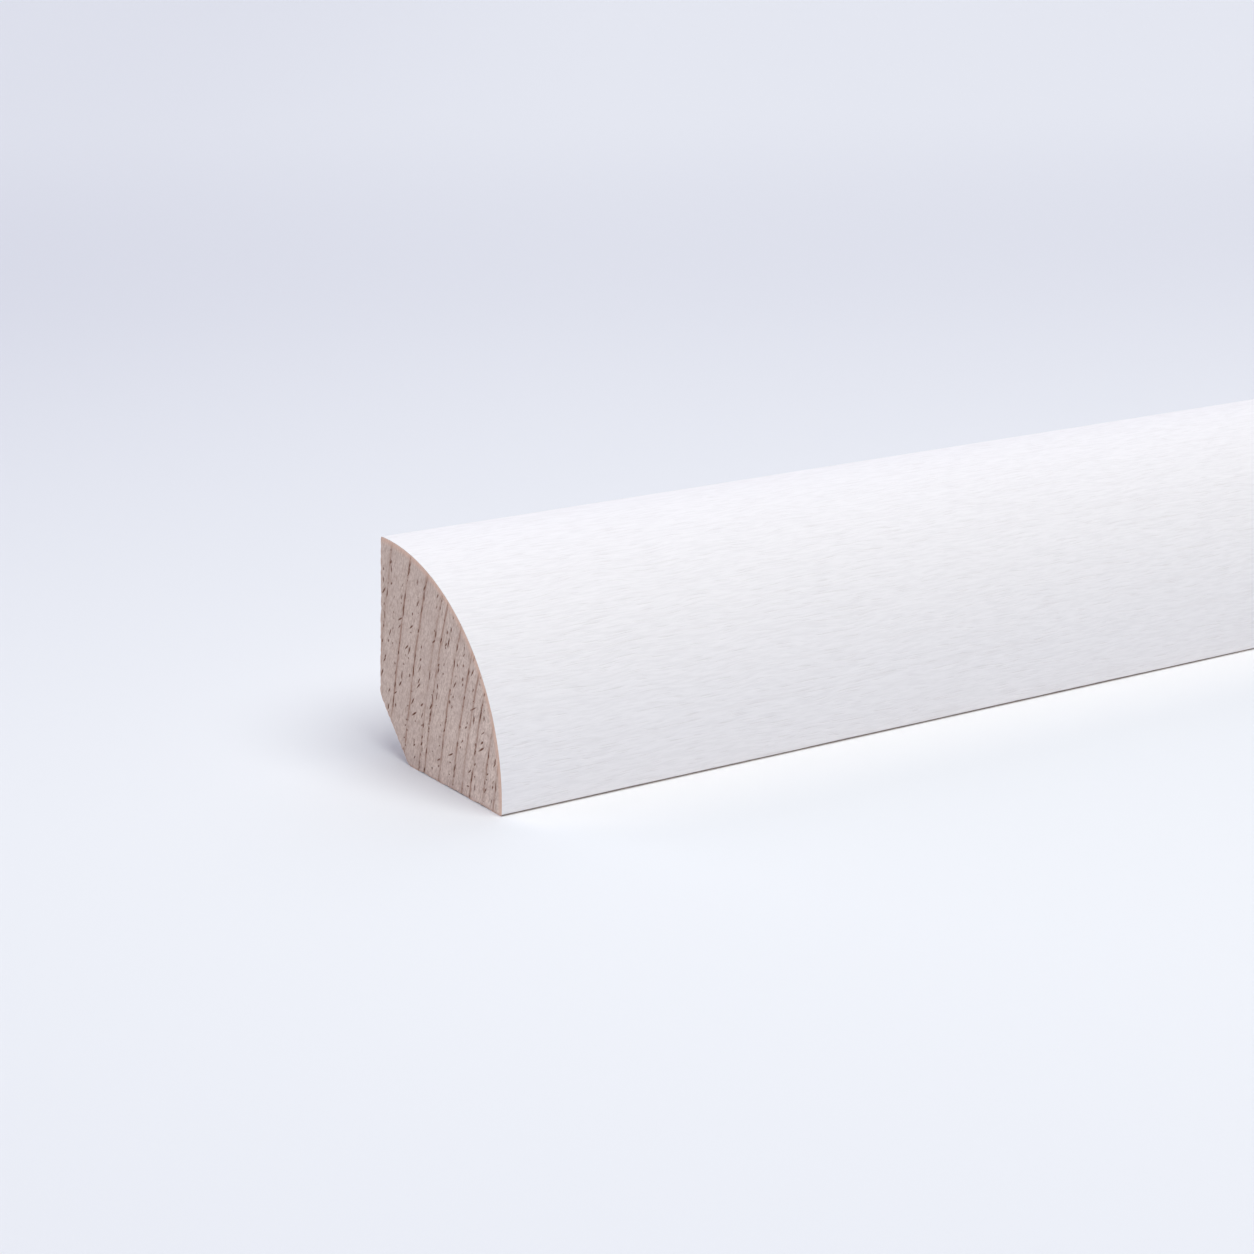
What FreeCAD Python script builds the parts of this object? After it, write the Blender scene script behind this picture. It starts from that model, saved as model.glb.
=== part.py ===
import FreeCAD, Part
import os

# Quarter round moulding: one length of solid hardwood, planed and moulded in a single section
# and sawn square at both ends. A quarter circle bows out between the wall face and the floor face.
# The hidden corner behind it is cut back, so the two faces still seat in a filled or uneven corner.
# X runs along the length, +Y faces the wall and +Z is up.
# The origin lies on the floor, midway along the length and midway across the section.

# Driving dimensions, in millimetres
LENGTH = 1000.0       # one short stock length, end to end
ROUND_RADIUS = 19.3   # radius of the quarter circle
TOP_LAND = 0.7        # flat on top, from the wall face to where the round starts
FOOT_LAND = 0.7       # upright flat at the front, from the floor face to where the round ends
CORNER_RISE = 5.3     # how far the cut-back corner reaches up the wall face
CORNER_RUN = 4.8      # how far the cut-back corner reaches in along the floor face
CORNER_EASE = 1.5     # rounding where the cut-back corner meets the wall and floor faces
ARRIS_EASE = 0.3      # rounding of the sharp arrises at the top and at the front foot

# The two lands carry the round tangentially, so they set the section's depth and height
section_depth = TOP_LAND + ROUND_RADIUS
section_height = FOOT_LAND + ROUND_RADIUS
wall_y = section_depth / 2
front_y = -section_depth / 2


def section_point(y, z):
    """A point of the section, at the middle of the length."""
    return FreeCAD.Vector(0, y, z)


# Corners of the section, going round from the top of the wall face, over the round, to the floor
wall_top = section_point(wall_y, section_height)
round_top = section_point(wall_y - TOP_LAND, section_height)
round_foot = section_point(front_y, FOOT_LAND)
front_foot = section_point(front_y, 0)
corner_floor = section_point(wall_y - CORNER_RUN, 0)
corner_wall = section_point(wall_y, CORNER_RISE)

# The round's centre is below its top end and level with its foot, and its middle is half way round
round_centre = section_point(round_top.y, round_foot.z)
half_way = FreeCAD.Vector(0, -1, 1).normalize()
round_middle = round_centre + half_way * ROUND_RADIUS


def closed_section():
    """The sharp-cornered section: the round between its two lands, then straight lines back to the top."""
    outline = [
        Part.makeLine(wall_top, round_top),
        Part.Arc(round_top, round_middle, round_foot).toShape(),
        Part.makeLine(round_foot, front_foot),
        Part.makeLine(front_foot, corner_floor),
        Part.makeLine(corner_floor, corner_wall),
        Part.makeLine(corner_wall, wall_top),
    ]
    return Part.Face(Part.Wire(outline))


def long_edge(stock, corner):
    """The edge that runs the whole length through one corner of the section."""
    return min(stock.Edges, key=lambda edge: edge.CenterOfMass.distanceToPoint(corner))


def eased(stock, corners, radius):
    """The stock with its long edges at these corners rounded to the radius."""
    return stock.makeFillet(radius, [long_edge(stock, corner) for corner in corners])


# The section is drawn half a length back and carried along the whole length
half_length = FreeCAD.Vector(LENGTH / 2, 0, 0)
start_section = closed_section()
start_section.translate(-half_length)
moulding = start_section.extrude(half_length * 2)

# The moulder leaves the cut-back corner softly rounded and the two working arrises barely broken
moulding = eased(moulding, [corner_wall, corner_floor], CORNER_EASE)
moulding = eased(moulding, [wall_top, front_foot], ARRIS_EASE)

os.makedirs("parts", exist_ok=True)
moulding.exportStep("parts/quarter_round_moulding.step")
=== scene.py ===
import bpy
import numpy as np
from mathutils import Matrix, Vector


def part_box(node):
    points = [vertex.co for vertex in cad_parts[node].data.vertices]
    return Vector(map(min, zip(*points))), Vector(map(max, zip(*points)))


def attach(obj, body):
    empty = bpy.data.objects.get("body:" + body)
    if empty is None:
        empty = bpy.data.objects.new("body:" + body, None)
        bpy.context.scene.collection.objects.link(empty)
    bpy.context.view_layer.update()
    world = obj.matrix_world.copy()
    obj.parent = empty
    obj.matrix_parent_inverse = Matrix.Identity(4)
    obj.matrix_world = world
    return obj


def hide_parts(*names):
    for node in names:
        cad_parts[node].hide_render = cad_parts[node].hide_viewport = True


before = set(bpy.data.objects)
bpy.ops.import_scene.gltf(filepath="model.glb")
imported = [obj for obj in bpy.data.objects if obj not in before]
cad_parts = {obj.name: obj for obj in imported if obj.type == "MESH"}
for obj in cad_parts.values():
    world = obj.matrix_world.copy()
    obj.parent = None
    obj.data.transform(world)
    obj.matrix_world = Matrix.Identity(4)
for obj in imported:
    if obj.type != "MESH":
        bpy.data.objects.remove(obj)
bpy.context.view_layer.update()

# The stick
# One length of open-grained hardwood, run through a moulder to a quarter round section and sawn square at
# both ends. The long faces come smooth off the cutters, and the saw leaves the end arrises a little torn.
MOULDING = "quarter_round_moulding"
ROUND_RADIUS = 0.0193
CORNER_RISE = 0.0053
CORNER_RUN = 0.0048
CORNER_EASE = 0.0015
ARRIS_EASE = 0.0003
ARC_POINTS = 129
ROUND_STEPS = 290
SIDE_STEPS = 140
FIRST_END_STEP = 0.00015
END_STATIONS = 5
MIDDLE_STATIONS = 7
SHARP_ANGLE = np.radians(50)
GRAIN_SEED = 20

box_low, box_high = (np.array(corner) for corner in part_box(MOULDING))
left_x, front_y, floor_z = box_low
right_x, wall_y, top_z = box_high
rng = np.random.default_rng(GRAIN_SEED)


def corner_arc(before, corner, after, radius):
    """The arc that rounds a corner. Its centre lies on the corner's bisector, one radius from both sides, and
    its points turn evenly from where it touches one side to where it touches the other."""
    to_before = (before - corner) / np.linalg.norm(before - corner)
    to_after = (after - corner) / np.linalg.norm(after - corner)
    half_angle = np.arccos(to_before @ to_after) / 2
    bisector = (to_before + to_after) / np.linalg.norm(to_before + to_after)
    centre = corner + bisector * radius / np.sin(half_angle)
    first = corner + to_before * radius / np.tan(half_angle) - centre
    last = corner + to_after * radius / np.tan(half_angle) - centre
    sweep = np.pi - 2 * half_angle
    turn = np.linspace(0, sweep, ARC_POINTS)[:, None]
    return centre + (first * np.sin(sweep - turn) + last * np.sin(turn)) / np.sin(sweep)


def length_along(points):
    """Distance from the first point to each point, measured along the line through them."""
    steps = np.linalg.norm(np.diff(points, axis=0), axis=1)
    return np.concatenate([[0], np.cumsum(steps)])


def spaced(pieces, steps):
    """The joined pieces of a line, as points an equal distance apart along it."""
    line = np.concatenate(pieces)
    along = length_along(line)
    even = np.linspace(0, along[-1], steps + 1)
    return np.stack([np.interp(even, along, line[:, axis]) for axis in (0, 1)], axis=1)


# The section is a five-sided outline with every corner rounded. The largest of them is the quarter round.
# It goes over the round, along the floor, up the cut-back corner and up the wall.
section_corners = np.array([
    (wall_y, top_z),
    (front_y, top_z),
    (front_y, floor_z),
    (wall_y - CORNER_RUN, floor_z),
    (wall_y, floor_z + CORNER_RISE),
])
section_radii = (ARRIS_EASE, ROUND_RADIUS, ARRIS_EASE, CORNER_EASE, CORNER_EASE)
corners_before = np.roll(section_corners, 1, axis=0)
corners_after = np.roll(section_corners, -1, axis=0)
top_arc, round_arc, foot_arc, floor_arc, wall_arc = map(
    corner_arc, corners_before, section_corners, corners_after, section_radii)
half = ARC_POINTS // 2
round_side = spaced([top_arc[half:], round_arc, foot_arc[:half + 1]], ROUND_STEPS)
floor_side = spaced([foot_arc[half:], floor_arc[:half + 1]], SIDE_STEPS)
corner_side = spaced([floor_arc[half:], wall_arc[:half + 1]], ROUND_STEPS)
wall_side = spaced([wall_arc[half:], top_arc[:half + 1]], SIDE_STEPS)
section_sides = (round_side, floor_side, corner_side, wall_side)
outline = np.concatenate([side[:-1] for side in section_sides])
side_starts = np.cumsum([0] + [len(side) - 1 for side in section_sides])
round_ids, floor_ids, corner_ids, wall_ids = (
    np.arange(start, end + 1) % len(outline) for start, end in zip(side_starts[:-1], side_starts[1:])
)

# The saw tears the bare arrises by less than a fifth of a millimetre, and hardly touches the lacquered one
TEAR_PITCHES = (0.0003, 0.0011)
TEAR_DEPTH = 0.00009
TEAR_REACH = 0.0005
LACQUER_HOLDS = 0.2
outline_at = length_along(np.concatenate([outline, outline[:1]]))
travel = np.roll(outline, -1, axis=0) - np.roll(outline, 1, axis=0)
inward = np.stack([-travel[:, 1], travel[:, 0]], axis=1) / np.linalg.norm(travel, axis=1)[:, None]


def torn_arris():
    """How far the saw tore each point of the outline inwards: random depths at a fine and at a coarse pitch
    round the outline, with straight lines between them, added up. They are squares of even chances, so most
    tears are slight and few are deep."""
    tear = np.zeros(len(outline))
    for pitch in TEAR_PITCHES:
        places = np.arange(0, outline_at[-1], pitch)
        depths = TEAR_DEPTH * rng.random(len(places)) ** 2
        tear += np.interp(outline_at[:-1], places, depths, period=outline_at[-1])
    tear[round_ids] *= LACQUER_HOLDS
    return tear


# Stations along the length lie close together at the ends, where the tears fade out
from_end = FIRST_END_STEP * (2.0 ** np.arange(END_STATIONS) - 1)
middle = np.linspace(left_x + from_end[-1], right_x - from_end[-1], MIDDLE_STATIONS + 2)[1:-1]
station_x = np.concatenate([left_x + from_end, middle, right_x - from_end[::-1]])
inset = (
    np.exp((left_x - station_x) / TEAR_REACH)[:, None] * torn_arris()
    + np.exp((station_x - right_x) / TEAR_REACH)[:, None] * torn_arris()
)
long_yz = outline + inset[:, :, None] * inward
long_x = np.broadcast_to(station_x[:, None, None], (*long_yz.shape[:2], 1))
long_points = np.concatenate([long_x, long_yz], axis=2)
long_ids = np.arange(long_points[..., 0].size).reshape(long_points.shape[:2])

# Growth rings cross the section as lines that lean away from the wall, most of all high up under the round.
# Good and poor years leave wide and narrow rings, and the grain drifts a little along the length.
RING_LINES_MM = (-13.5, -9.9, -7.1, -4.4, -1.8, -0.9, 1.6, 3.9, 5.4, 6.7, 8.8, 10.5, 12.2, 13.8)
RING_LEAN = 0.16
RING_BEND = 700.0
DRIFT = 0.0012
DRIFT_SPAN = 1.3
MIDDLE_DEPTH = 0.010
MIDDLE_HEIGHT = 0.009
ring_lines = np.array(RING_LINES_MM) * 0.001


def ring_lean(height):
    """Where the rings are counted from at this height, as a depth: the middle depth, plus a share of the
    height above the middle."""
    return MIDDLE_DEPTH + RING_LEAN * (height - MIDDLE_HEIGHT)


def ring_spread(height):
    """What a depth is multiplied by at this height before rings are counted: 1 at the middle height, and less
    with the height squared, which sets the rings wider apart high up."""
    return 1 - RING_BEND * (height ** 2 - MIDDLE_HEIGHT ** 2) / 2


def ring_count(points):
    """Growth rings counted across the stick: a whole number on each ring line, and even steps between two
    lines. A point's offset is its depth from the wall, spread, less the lean, plus a sine along X."""
    height = points[..., 2] - floor_z
    drift = DRIFT * np.sin(2 * np.pi * (points[..., 0] - left_x) / DRIFT_SPAN)
    offset = (wall_y - points[..., 1]) * ring_spread(height) - ring_lean(height) + drift
    return np.interp(offset, ring_lines, np.arange(len(ring_lines)))


# Open pores pit the end grain. Many are strung along the ring lines, and the rest lie in short chains.
LINE_PORES = 150
LINE_PORE_SWING = 0.15
CHAINS = 44
CHAIN_PORES = 5
CHAIN_STEP = 0.0010
CHAIN_SLIP = 0.4
CHAIN_SPREAD = (0.755, 0.570)
CHAIN_SWING = 0.15
CHAIN_PORE_LEAN = 0.40
CHAIN_PORE_SWING = 0.35
PORE_SHORTEST = 0.00008
PORE_LONGEST = 0.00048
PORE_WIDTHS = (0.00005, 0.00009)
PORE_DEPTH = 0.00009
NO_PORE = 3.0


def pore_distance(face):
    """Distance from each point of an end face to its nearest pore, in that pore's own radii. Pores are
    ellipses of random sizes, most of them short. Some stand on ring lines at random heights. The rest stand
    in chains that lean about as the rings do, at even steps with a random slip. Each chain's middle is a
    fixed share of the depth and of the height further on than the last one's, and starts again past the
    edge."""
    line_height = rng.uniform(0, top_z - floor_z, LINE_PORES)
    line_depth = (rng.choice(ring_lines, LINE_PORES) + ring_lean(line_height)) / ring_spread(line_height)
    on_lines = np.stack([wall_y - line_depth, floor_z + line_height], axis=1)
    line_turn = rng.normal(-RING_LEAN, LINE_PORE_SWING, LINE_PORES)
    shares = (rng.random(2) + np.arange(CHAINS)[:, None] * CHAIN_SPREAD) % 1
    chain_middles = box_low[1:] + shares * (box_high - box_low)[1:]
    chain_lean = rng.normal(RING_LEAN, CHAIN_SWING, (CHAINS, 1))
    slips = rng.uniform(-CHAIN_SLIP, CHAIN_SLIP, (CHAINS, CHAIN_PORES))
    steps = CHAIN_STEP * (np.arange(CHAIN_PORES) - CHAIN_PORES // 2 + slips)
    along_chain = np.stack([-np.sin(chain_lean) * steps, np.cos(chain_lean) * steps], axis=2)
    in_chains = (chain_middles[:, None] + along_chain).reshape(-1, 2)
    chain_turn = rng.normal(-CHAIN_PORE_LEAN, CHAIN_PORE_SWING, len(in_chains))
    centres = np.concatenate([on_lines, in_chains])
    turn = np.concatenate([line_turn, chain_turn])
    half_length = PORE_SHORTEST + (PORE_LONGEST - PORE_SHORTEST) * rng.random(len(centres)) ** 2
    half_width = rng.uniform(*PORE_WIDTHS, len(centres))
    away = face[..., None, 1:] - centres
    lengthwise = (away[..., 1] * np.cos(turn) + away[..., 0] * np.sin(turn)) / half_length
    crosswise = (away[..., 0] * np.cos(turn) - away[..., 1] * np.sin(turn)) / half_width
    return np.hypot(lengthwise, crosswise).min(axis=-1).clip(0, NO_PORE)


def end_face(rim, end_x):
    """A sawn end as a patch between its four sides: each point blends the round with the cut-back corner, and
    the wall with the floor, less the blend of the four corner points. Its rows go from the wall to the floor,
    and its columns from the round to the cut-back corner."""
    s = np.linspace(0, 1, ROUND_STEPS + 1)[:, None, None]
    t = np.linspace(0, 1, SIDE_STEPS + 1)[None, :, None]
    over, under = rim[round_ids][:, None], rim[corner_ids[::-1]][:, None]
    back, front = rim[wall_ids[::-1]][None], rim[floor_ids][None]
    corners = (1 - s) * ((1 - t) * over[:1] + t * under[:1]) + s * ((1 - t) * over[-1:] + t * under[-1:])
    yz = (1 - t) * over + t * under + (1 - s) * back + s * front - corners
    return np.concatenate([np.full((*yz.shape[:2], 1), end_x), yz], axis=2)


def end_ids(first_new, station):
    """Vertex numbers of an end face: its rim is shared with the long faces, and the rest are new."""
    ids = np.empty((ROUND_STEPS + 1, SIDE_STEPS + 1), int)
    ids[1:-1, 1:-1] = first_new + np.arange((ROUND_STEPS - 1) * (SIDE_STEPS - 1)).reshape(ROUND_STEPS - 1, -1)
    ids[:, 0], ids[:, -1] = long_ids[station, round_ids], long_ids[station, corner_ids[::-1]]
    ids[0], ids[-1] = long_ids[station, wall_ids[::-1]], long_ids[station, floor_ids]
    return ids


ends = [end_face(long_yz[0], left_x), end_face(long_yz[-1], right_x)]
end_pores = [pore_distance(end) for end in ends]
for end, pores, inwards in zip(ends, end_pores, (1, -1)):
    end[..., 0] += inwards * PORE_DEPTH * (1 - pores ** 2).clip(0, 1)
inner = (slice(1, -1), slice(1, -1))
left_ids = end_ids(long_ids.size, 0)
right_ids = end_ids(long_ids.size + ends[0][inner][..., 0].size, -1)
points = np.concatenate([long_points.reshape(-1, 3), *(end[inner].reshape(-1, 3) for end in ends)])

# The finishes read five measures at every vertex: the ring count, the gap between two ring lines, and the
# distances from a pore, from the nearer edge of the lacquered side and from the nearest bare side
ring_values = ring_count(points)
gap_values = np.interp(ring_values, np.arange(len(ring_lines)), np.gradient(ring_lines))
pore_values = np.concatenate([
    np.full(long_ids.size, NO_PORE), *(pores[inner].ravel() for pores in end_pores)])
outline_to_arris = np.zeros(len(outline))
outline_to_arris[round_ids] = np.minimum(
    outline_at[round_ids], outline_at[round_ids[-1]] - outline_at[round_ids])
arris_values = np.concatenate([
    np.broadcast_to(outline_to_arris, long_ids.shape).ravel(), np.zeros(len(points) - long_ids.size)])
from_wall, from_floor = wall_y - points[:, 1], points[:, 2] - floor_z
from_corner_cut = (
    from_wall * CORNER_RISE + from_floor * CORNER_RUN - CORNER_RISE * CORNER_RUN
) / np.hypot(CORNER_RISE, CORNER_RUN)
bare_values = np.minimum.reduce([from_wall, from_floor, from_corner_cut])


def four_corners(grid):
    """The values at the four corners of every cell of a grid, going round the cell."""
    return np.stack([grid[:-1, :-1], grid[:-1, 1:], grid[1:, 1:], grid[1:, :-1]], axis=-1).reshape(-1, 4)


# The unrolled layout for baked colours: each long side is a band over the full width, each end a square
MAP_GAP = 0.004
END_SQUARE = 0.30
LACQUERED, PLANED, SAWN = range(3)
side_lengths = np.array([length_along(side)[-1] for side in section_sides])
band_scale = (1 - END_SQUARE - (len(section_sides) + 2) * MAP_GAP) / side_lengths.sum()
band_u = MAP_GAP + (1 - 2 * MAP_GAP) * (station_x - left_x) / (right_x - left_x)
band_foot = END_SQUARE + MAP_GAP
face_ids, face_u, face_v, face_finish = [], [], [], []
for ids, length, finish in zip(
        (round_ids, floor_ids, corner_ids, wall_ids), side_lengths, (LACQUERED, PLANED, PLANED, PLANED)):
    band_foot += MAP_GAP
    band_v = band_foot + band_scale * length * np.linspace(0, 1, len(ids))
    grid_u, grid_v = np.broadcast_arrays(band_u[:, None], band_v[None])
    face_ids.append(four_corners(long_ids[:, ids]))
    face_u.append(four_corners(grid_u))
    face_v.append(four_corners(grid_v))
    face_finish.append(np.full(len(face_ids[-1]), finish))
    band_foot = band_v[-1]
square = END_SQUARE - MAP_GAP
for end, ids, square_start, order in zip(
        ends, (left_ids, right_ids), (MAP_GAP, MAP_GAP + END_SQUARE), (1, -1)):
    end_u = square_start + square * (end[..., 1] - front_y) / (wall_y - front_y)
    end_v = MAP_GAP + square * (end[..., 2] - floor_z) / (top_z - floor_z)
    face_ids.append(four_corners(ids[:, ::order]))
    face_u.append(four_corners(end_u[:, ::order]))
    face_v.append(four_corners(end_v[:, ::order]))
    face_finish.append(np.full(len(face_ids[-1]), SAWN))

mesh = bpy.data.meshes.new("moulding")
mesh.from_pydata(points.tolist(), [], np.concatenate(face_ids).tolist())
mesh.polygons.foreach_set("material_index", np.concatenate(face_finish).astype(np.int32))
mesh.polygons.foreach_set("use_smooth", np.ones(len(mesh.polygons), bool))
mesh.set_sharp_from_angle(angle=SHARP_ANGLE)
layout = mesh.uv_layers.new(name="OFBake")
layout.uv.foreach_set(
    "vector", np.stack([np.concatenate(face_u), np.concatenate(face_v)], axis=-1).astype(np.float32).ravel())
for name, values in (
        ("ring", ring_values), ("ring_gap", gap_values), ("pore", pore_values),
        ("from_arris", arris_values), ("from_bare_side", bare_values)):
    mesh.attributes.new(name, "FLOAT", "POINT").data.foreach_set("value", values.astype(np.float32))
moulding = bpy.data.objects.new("moulding", mesh)
bpy.context.scene.collection.objects.link(moulding)
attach(moulding, "root")
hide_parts(MOULDING)


# White lacquer
# A thin satin coat sprayed on the round, both lands and the outer half of their arrises. The open grain below
# still shows through it as fine short dashes along the length. A strip by the floor stays bare, and its wood
# is painted darker than bare wood, as painted shade of the gap under the foot.
def srgb(red, green, blue):
    """A colour given as 0 to 255 screen values, turned into the linear colour that a shader takes. The usual
    screen curve is a straight line for the darkest values and a power of 2.4 above."""
    screen = np.array([red, green, blue]) / 255
    linear = np.where(screen <= 0.04045, screen / 12.92, ((screen + 0.055) / 1.055) ** 2.4)
    return (*linear, 1.0)


def new_finish(name):
    """A new material, with its node tree and its shader."""
    material = bpy.data.materials.new(name)
    material.use_nodes = True
    return material, material.node_tree, material.node_tree.nodes["Principled BSDF"]


def add(tree, kind, inputs, output=0, **options):
    """Adds a node with these options, fills its inputs with values or links, and gives back one output."""
    node = tree.nodes.new("ShaderNode" + kind)
    for option, value in options.items():
        setattr(node, option, value)
    for key, value in inputs.items():
        if isinstance(value, bpy.types.NodeSocket):
            tree.links.new(value, node.inputs[key])
        else:
            node.inputs[key].default_value = value
    return node.outputs[output]


def measure(tree, name):
    """One of the measures stored at the stick's vertices."""
    return add(tree, "Attribute", {}, "Fac", attribute_name=name)


def stretched_noise(tree, place, cell, detail=2.0, roughness=0.5, lean=0.0):
    """Noise about as long, deep and high as the cell, in metres, leaning about the length."""
    inputs = {"Vector": place, "Scale": cell, "Rotation": (lean, 0, 0)}
    scaled = add(tree, "Mapping", inputs, vector_type="TEXTURE")
    return add(tree, "TexNoise", {"Vector": scaled, "Scale": 1.0, "Detail": detail, "Roughness": roughness})


def ramp(tree, value, start, end, low=0.0, high=1.0):
    """A value carried smoothly from low at start to high at end, and held there on both sides."""
    inputs = {"Value": value, "From Min": start, "From Max": end, "To Min": low, "To Max": high}
    return add(tree, "MapRange", inputs, interpolation_type="SMOOTHSTEP")


def blend(tree, amount, first, second):
    """The first colour where the amount is 0, and the second where it is 1."""
    return add(tree, "Mix", {0: amount, 6: first, 7: second}, 2, data_type="RGBA")


def times(tree, first, second):
    """Two values multiplied."""
    return add(tree, "Math", {0: first, 1: second}, operation="MULTIPLY")


def plus(tree, first, second):
    """Two values added."""
    return add(tree, "Math", {0: first, 1: second}, operation="ADD")


def swing(tree, noise, reach):
    """Noise turned into a swing of half the reach to both sides of zero."""
    return add(tree, "Math", {0: noise, 1: reach, 2: -reach / 2}, operation="MULTIPLY_ADD")


def from_ring_line(tree, sway=0.0):
    """Distance from the nearest ring line, in metres: how far the ring count, plus a sway, is from a whole
    number, times the gap between the ring lines there."""
    swayed = plus(tree, measure(tree, "ring"), sway)
    off_line = add(tree, "Math", {0: swayed, 1: 0.5}, operation="PINGPONG")
    return times(tree, off_line, measure(tree, "ring_gap"))


def set_relief(tree, shader, height, strength, depth, sunk=False):
    """Gives a finish its fine relief: raised, or sunk, by up to the depth where the height is 1."""
    bump = add(tree, "Bump", {"Strength": strength, "Distance": depth, "Height": height}, invert=sunk)
    tree.links.new(bump, shader.inputs["Normal"])


WHITE = srgb(247, 245, 247)
FIBRE_SHADE = srgb(240, 238, 240)
DASH_SHADE = srgb(227, 222, 222)
FOOT_WOOD_PAINTED_SHADE = srgb(136, 126, 125)
WANDER_CELL = (0.009, 0.003, 0.003)
WANDER = 0.0008
FIBRE_CELL = (0.0020, 0.00018, 0.00018)
STREAK_CELL = (0.0070, 0.00050, 0.00050)
FIBRE_RANGE = (0.35, 0.70)
STREAK_SHOWS = 0.20
COATED_LINE = (0.00003, 0.00016)
COATED_LINE_BREAKS = (0.45, 0.60)
COATED_LINE_SHOWS = 0.12
DASH_CELL = (0.0026, 0.00012, 0.00012)
DASH_RANGE = (0.60, 0.74)
DASH_SHOWS = 0.30
BARE_STRIP = (0.00014, 0.00022)
BARE_STRIP_RAGGED = 0.00012
COAT_RELIEF = 0.00003
lacquer, tree, shader = new_finish("white_lacquer")
place = add(tree, "TexCoord", {}, "Object")
sway = swing(tree, stretched_noise(tree, place, WANDER_CELL, detail=1.0), WANDER)
across = add(tree, "CombineXYZ", {"Y": sway, "Z": sway})
swayed = add(tree, "VectorMath", {0: place, 1: across}, operation="ADD")
fibres = stretched_noise(tree, swayed, FIBRE_CELL, detail=3.0, roughness=0.65)
streaks = stretched_noise(tree, swayed, STREAK_CELL)
dashes = ramp(tree, stretched_noise(tree, swayed, DASH_CELL, detail=1.0), *DASH_RANGE)
ring_line = ramp(tree, from_ring_line(tree), *COATED_LINE, COATED_LINE_SHOWS, 0.0)
ring_line = times(tree, ring_line, ramp(tree, streaks, *COATED_LINE_BREAKS))
colour = blend(tree, ramp(tree, fibres, *FIBRE_RANGE), WHITE, FIBRE_SHADE)
colour = blend(tree, ramp(tree, streaks, *FIBRE_RANGE, 0.0, STREAK_SHOWS), colour, FIBRE_SHADE)
colour = blend(tree, ring_line, colour, DASH_SHADE)
colour = blend(tree, times(tree, dashes, DASH_SHOWS), colour, DASH_SHADE)
ragged = plus(tree, times(tree, streaks, BARE_STRIP_RAGGED), measure(tree, "from_arris"))
# The bare strip by the floor is painted darker than bare wood: bare wood and painted shade under the foot
colour = blend(tree, ramp(tree, ragged, *BARE_STRIP, 1.0, 0.0), colour, FOOT_WOOD_PAINTED_SHADE)
tree.links.new(colour, shader.inputs["Base Color"])
relief = add(tree, "Math", {0: fibres, 1: dashes}, operation="SUBTRACT")
set_relief(tree, shader, relief, strength=0.5, depth=COAT_RELIEF)
shader.inputs["Roughness"].default_value = 0.5
shader.inputs["Specular IOR Level"].default_value = 0.25
mesh.materials.append(lacquer)

# Planed wood
# The bare hardwood on the wall face, the floor face and the cut-back corner, straight off the cutters.
# Growth rings run along it as faint darker lines, and cut-open pores as short brown dashes.
PALE_WOOD = srgb(226, 207, 189)
DARK_WOOD = srgb(210, 188, 168)
RING_BROWN = srgb(168, 138, 116)
PORE_BROWN = srgb(122, 94, 76)
BOARD_CELL = (0.060, 0.0012, 0.0012)
BOARD_RANGE = (0.35, 0.65)
PLANED_LINE = (0.00003, 0.00030)
PLANED_LINE_SHOWS = 0.55
CUT_PORE_CELL = (0.006, 0.00022, 0.00022)
CUT_PORE_RANGE = (0.60, 0.70)
CUT_PORE_SHOWS = 0.7
CUT_PORE_RELIEF = 0.00005
planed, tree, shader = new_finish("planed_wood")
place = add(tree, "TexCoord", {}, "Object")
streaks = stretched_noise(tree, place, BOARD_CELL, detail=3.0)
cut_pores = ramp(tree, stretched_noise(tree, place, CUT_PORE_CELL), *CUT_PORE_RANGE)
ring_line = ramp(tree, from_ring_line(tree), *PLANED_LINE, PLANED_LINE_SHOWS, 0.0)
colour = blend(tree, ramp(tree, streaks, *BOARD_RANGE), PALE_WOOD, DARK_WOOD)
colour = blend(tree, ring_line, colour, RING_BROWN)
colour = blend(tree, times(tree, cut_pores, CUT_PORE_SHOWS), colour, PORE_BROWN)
tree.links.new(colour, shader.inputs["Base Color"])
set_relief(tree, shader, cut_pores, strength=0.4, depth=CUT_PORE_RELIEF, sunk=True)
shader.inputs["Roughness"].default_value = 0.62
mesh.materials.append(planed)

# Sawn end grain
# The cross-cut ends, bare and matt: a pinkish grey-brown ground with thin brown ring lines, dark pits where
# the pores open, a warm rim under the lacquer and the lacquer's own edge as a thin white line.
END_PALE = srgb(233, 214, 199)
END_GREY = srgb(218, 199, 186)
END_PAINTED_SHADE = srgb(205, 185, 170)
MOTTLE = srgb(178, 151, 135)
LINE_BROWN = srgb(155, 115, 96)
PIT_BROWN = srgb(121, 82, 63)
RIM_SALMON = srgb(226, 188, 164)
BARE_RIM = srgb(200, 166, 146)
LACQUER_EDGE = srgb(233, 230, 223)
CLOUD_CELL = (0.0030, 0.0030, 0.0030)
CLOUD_RANGE = (0.35, 0.65)
END_PAINTED_SHADE_RINGS = (1.0, 11.0)
END_PAINTED_SHADE_SHOWS = (0.60, 0.12)
SPECK_CELL = (0.00022, 0.00022, 0.00022)
SPECK_RANGE = (0.40, 0.70)
SPECK_SHOWS = 0.42
SPECK_RELIEF = 0.00004
END_FIBRE_CELL = (0.0020, 0.00018, 0.0007)
END_FIBRE_RANGE = (0.42, 0.70)
END_FIBRE_SHOWS = 0.65
LINE_SWAY_CELL = (0.0025, 0.0025, 0.0025)
LINE_SWAY = 0.12
LINE_HALO = (0.00010, 0.00070)
LINE_HALO_SHOWS = 0.22
LINE_WIDTH = (0.00003, 0.00020)
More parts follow.
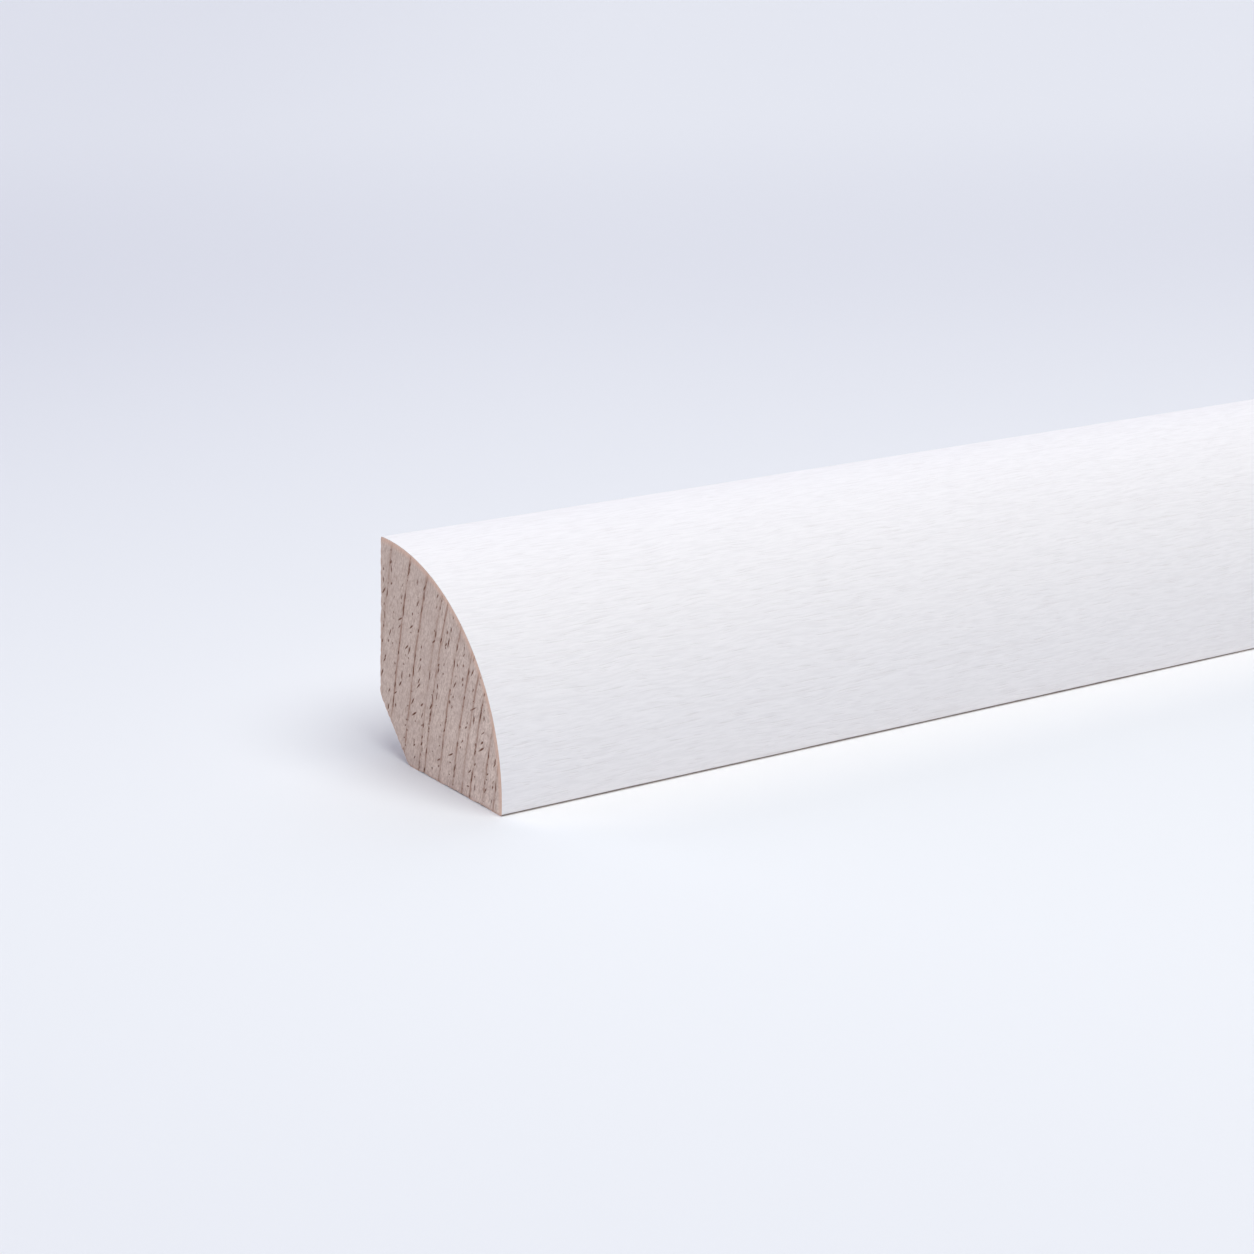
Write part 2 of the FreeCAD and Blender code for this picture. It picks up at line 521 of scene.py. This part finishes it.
LINE_SHOWS = 0.72
LINE_BREAK_CELL = (0.0012, 0.0012, 0.0012)
LINE_BREAKS = (0.32, 0.58)
LINE_BROKEN = 0.25
POOR_YEARS = (0.0, 0.6)
POOR_YEAR_SHOWS = 0.5
PIT_EDGE = (0.6, 1.5)
RIM_WIDTH = 0.0008
RIM_SHOWS = 0.75
BARE_RIM_WIDTH = (0.00005, 0.00035)
BARE_RIM_SHOWS = 0.6
LACQUER_THICKNESS = 0.00005
LACQUER_EDGE_BLUR = 0.00001
sawn, tree, shader = new_finish("sawn_end_grain")
place = add(tree, "TexCoord", {}, "Object")
ring = measure(tree, "ring")
clouds = stretched_noise(tree, place, CLOUD_CELL, detail=3.0)
specks = stretched_noise(tree, place, SPECK_CELL)
fibres = stretched_noise(tree, place, END_FIBRE_CELL, lean=2 * RING_LEAN)
colour = blend(tree, ramp(tree, clouds, *CLOUD_RANGE), END_PALE, END_GREY)
# Painted shade: the ground is darker towards the wall side, which evens out the light that falls more
# brightly on the end's upper part
colour = blend(tree, ramp(tree, ring, *END_PAINTED_SHADE_RINGS, *END_PAINTED_SHADE_SHOWS), colour, END_PAINTED_SHADE)
colour = blend(tree, ramp(tree, specks, *SPECK_RANGE, 0.0, SPECK_SHOWS), colour, MOTTLE)
colour = blend(tree, ramp(tree, fibres, *END_FIBRE_RANGE, 0.0, END_FIBRE_SHOWS), colour, MOTTLE)

# Each year's line has its own strength, wavers a little and fades in places
sway = swing(tree, stretched_noise(tree, place, LINE_SWAY_CELL), LINE_SWAY)
line_distance = from_ring_line(tree, sway)
broken = stretched_noise(tree, place, LINE_BREAK_CELL, detail=3.0, roughness=0.6)
year = add(tree, "Math", {0: ring}, operation="ROUND")
year_strength = add(tree, "TexWhiteNoise", {"W": year}, noise_dimensions="1D")
line = ramp(tree, line_distance, *LINE_WIDTH, LINE_SHOWS, 0.0)
line = times(tree, line, ramp(tree, broken, *LINE_BREAKS, LINE_BROKEN, 1.0))
line = times(tree, line, ramp(tree, year_strength, *POOR_YEARS, POOR_YEAR_SHOWS, 1.0))
colour = blend(tree, ramp(tree, line_distance, *LINE_HALO, LINE_HALO_SHOWS, 0.0), colour, MOTTLE)
colour = blend(tree, line, colour, LINE_BROWN)
colour = blend(tree, ramp(tree, measure(tree, "pore"), *PIT_EDGE, 1.0, 0.0), colour, PIT_BROWN)

# The rim is found by the distance from the round's centre, and the bare rim by that from the bare sides
round_centre = (0.0, front_y + ROUND_RADIUS, top_z - ROUND_RADIUS)
in_section = add(tree, "Mapping", {"Vector": place, "Scale": (0.0, 1.0, 1.0)})
from_centre = add(tree, "VectorMath", {0: in_section, 1: round_centre}, "Value", operation="DISTANCE")
wood_radius = ROUND_RADIUS - LACQUER_THICKNESS
rim = ramp(tree, from_centre, ROUND_RADIUS - RIM_WIDTH, wood_radius, 0.0, RIM_SHOWS)
bare_rim = ramp(tree, measure(tree, "from_bare_side"), *BARE_RIM_WIDTH, BARE_RIM_SHOWS, 0.0)
edge = ramp(tree, from_centre, wood_radius - LACQUER_EDGE_BLUR, wood_radius + LACQUER_EDGE_BLUR)
colour = blend(tree, rim, colour, RIM_SALMON)
colour = blend(tree, bare_rim, colour, BARE_RIM)
colour = blend(tree, edge, colour, LACQUER_EDGE)
tree.links.new(colour, shader.inputs["Base Color"])
set_relief(tree, shader, specks, strength=0.3, depth=SPECK_RELIEF)
shader.inputs["Roughness"].default_value = 0.75
shader.inputs["Specular IOR Level"].default_value = 0.25
mesh.materials.append(sawn)

# The floor
# A wide sheet of pale bluish matt paper that the stick lies on. Its colour carries painted shade, darker in a
# band behind the stick, at the left and near the camera, and painted light, paler along the white foot.
# Further out it has one even tone.
PAPER = srgb(242, 244, 245)
PAPER_PAINTED_SHADE = srgb(200, 201, 213)
PAPER_PAINTED_LIGHT = srgb(248, 248, 250)
PAPER_AROUND = srgb(219, 221, 226)
FLOOR_REACH = 40.0
FLOOR_STEPS = 64
BAND_TURN = np.radians(17.3)
BAND_START = (-0.223, 0.414)
BAND_END = (0.183, 0.409)
PAINTED_BAND_SHADE_SHOWS = (0.811, 0.470)
VIEW_TURN = np.radians(36)
PAINTED_LEFT_SHADE = (-0.526, -0.385)
PAINTED_LEFT_SHADE_SHOWS = 0.158
PAINTED_NEAR_SHADE = (-0.460, -0.293)
PAINTED_NEAR_SHADE_SHOWS = 0.435
PAINTED_LIGHT_WIDTH = 0.012
PAINTED_LIGHT_CORNER = (-0.0055, 0.0025)
PAINTED_LIGHT_LEFT = (-0.002, 0.002)
PAINTED_LIGHT_RIGHT = (0.12, 0.50)
PAINTED_POOL_PLACE = (-0.388, 0.0, 0.0)
PAINTED_POOL_SIZE = (0.28, 0.50, 1.0)
PAINTED_POOL_FADE = (1.0, 2.2)

# The sheet is a flat grid. Its lines stand at the cubes of even steps, closest together near the stick.
grid_lines = FLOOR_REACH * np.linspace(-1, 1, FLOOR_STEPS + 1) ** 3
floor_x, floor_y = np.meshgrid(grid_lines, grid_lines, indexing="ij")
floor_points = np.stack([floor_x, floor_y, np.full_like(floor_x, floor_z)], axis=2)
floor_grid = np.arange(floor_x.size).reshape(floor_x.shape)
floor_mesh = bpy.data.meshes.new("floor")
floor_mesh.from_pydata(floor_points.reshape(-1, 3).tolist(), [], four_corners(floor_grid)[:, ::-1].tolist())

paper, tree, shader = new_finish("pale_paper_with_painted_light")
place = add(tree, "TexCoord", {}, "Object")
end_place = add(tree, "Mapping", {"Vector": place, "Location": (-left_x, 0, 0)})
band_place = add(tree, "Mapping", {"Vector": end_place, "Rotation": (0, 0, BAND_TURN)})
view_place = add(tree, "Mapping", {"Vector": place, "Rotation": (0, 0, VIEW_TURN)})
behind = add(tree, "SeparateXYZ", {"Vector": band_place}, "Y")
aside = add(tree, "SeparateXYZ", {"Vector": view_place}, "X")
before = add(tree, "SeparateXYZ", {"Vector": view_place}, "Y")
# Painted shade: darker in a band behind the stick, at the left and near the camera
band = times(tree, ramp(tree, behind, *BAND_START), ramp(tree, behind, *BAND_END, *PAINTED_BAND_SHADE_SHOWS))
painted_left_shade = ramp(tree, aside, *PAINTED_LEFT_SHADE, PAINTED_LEFT_SHADE_SHOWS, 0.0)
painted_near_shade = ramp(tree, before, *PAINTED_NEAR_SHADE, PAINTED_NEAR_SHADE_SHOWS, 0.0)
colour = blend(tree, plus(tree, band, plus(tree, painted_left_shade, painted_near_shade)), PAPER, PAPER_PAINTED_SHADE)

# Painted light, standing in for light that the white round throws on the floor: brightest along the foot, it
# narrows to a point at the left end and dies out along the length
from_foot = plus(tree, add(tree, "SeparateXYZ", {"Vector": place}, "Y"), -front_y)
from_left = add(tree, "SeparateXYZ", {"Vector": end_place}, "X")
painted_light = times(tree, ramp(tree, from_foot, -PAINTED_LIGHT_WIDTH, 0.0), ramp(tree, from_foot, 0.0, -front_y, 1.0, 0.0))
painted_light = times(tree, painted_light, ramp(tree, plus(tree, from_left, from_foot), *PAINTED_LIGHT_CORNER))
painted_light = times(tree, painted_light, ramp(tree, from_left, *PAINTED_LIGHT_LEFT))
painted_light = times(tree, painted_light, ramp(tree, from_left, *PAINTED_LIGHT_RIGHT, 1.0, 0.0))
colour = blend(tree, painted_light, colour, PAPER_PAINTED_LIGHT)

# All this painted shade and light lies in an oval painted pool of light, turned as the camera is, and the
# even tone lies round it
painted_pool_setting = {"Vector": view_place, "Location": PAINTED_POOL_PLACE, "Scale": PAINTED_POOL_SIZE}
painted_pool_place = add(tree, "Mapping", painted_pool_setting, vector_type="TEXTURE")
from_painted_pool = add(tree, "VectorMath", {0: painted_pool_place}, "Value", operation="LENGTH")
colour = blend(tree, ramp(tree, from_painted_pool, *PAINTED_POOL_FADE), colour, PAPER_AROUND)
tree.links.new(colour, shader.inputs["Base Color"])
shader.inputs["Roughness"].default_value = 0.9
shader.inputs["Specular IOR Level"].default_value = 0.1
floor_mesh.materials.append(paper)
floor = bpy.data.objects.new("floor", floor_mesh)
bpy.context.scene.collection.objects.link(floor)

# Light
# Three broad soft lamps round the stick, the strongest of them high in front of it, and a weak pale sky.
# The camera sees a plain backdrop in place of the sky, in the tone of the far floor.
SKY = (0.145, 0.146, 0.205, 1.0)
BACKDROP = srgb(223, 226, 237)
LAMP_SPREAD = np.radians(50)
LAMPS = {
    "front_lamp": {"strength": 2.25, "colour": (0.99, 1.0, 0.94), "turn": 10, "lean": 22.5},
    "back_left_lamp": {"strength": 1.22, "colour": (0.84, 0.86, 1.0), "turn": 225, "lean": 65},
    "back_right_lamp": {"strength": 0.54, "colour": (0.97, 0.98, 1.0), "turn": 135, "lean": 42},
}


def soft_lamp(name, strength, colour, turn, lean):
    """A far, wide lamp that leans from overhead towards the front and is turned from there to the right, both
    in degrees."""
    lamp = bpy.data.objects.new(name, bpy.data.lights.new(name, "SUN"))
    lamp.data.energy = strength
    lamp.data.color = colour
    lamp.data.angle = LAMP_SPREAD
    lamp.matrix_world = Matrix.Rotation(np.radians(turn), 4, "Z") @ Matrix.Rotation(np.radians(lean), 4, "X")
    bpy.context.scene.collection.objects.link(lamp)


for lamp_name, setting in LAMPS.items():
    soft_lamp(lamp_name, **setting)
world = bpy.data.worlds.new("sky")
world.use_nodes = True
in_camera = add(world.node_tree, "LightPath", {}, "Is Camera Ray")
sky_colour = blend(world.node_tree, in_camera, SKY, BACKDROP)
world.node_tree.links.new(sky_colour, world.node_tree.nodes["Background"].inputs["Color"])
bpy.context.scene.world = world

# Camera
# It stands beyond the left end, in front of the stick and a little above it, and looks along it and down
# at it with a long lens. It is held a little out of level.
CAMERA_PLACE = (-0.63579, -0.21452, 0.09339)
LOOKS_RIGHT = np.radians(35.96)
LOOKS_DOWN = np.radians(17.25)
TILT = np.radians(1.583)
LENS_MM = 88.42
SENSOR_MM = 36
NEAREST_SEEN = 0.01
camera_data = bpy.data.cameras.new("camera")
camera_data.sensor_width = SENSOR_MM
camera_data.lens = LENS_MM
camera_data.clip_start = NEAREST_SEEN
camera = bpy.data.objects.new("camera", camera_data)
camera.matrix_world = (
    Matrix.Translation(CAMERA_PLACE)
    @ Matrix.Rotation(-LOOKS_RIGHT, 4, "Z")
    @ Matrix.Rotation(np.pi / 2 - LOOKS_DOWN, 4, "X")
    @ Matrix.Rotation(TILT, 4, "Z")
)
bpy.context.scene.collection.objects.link(camera)
bpy.context.scene.camera = camera
bpy.context.scene.view_settings.view_transform = "Standard"
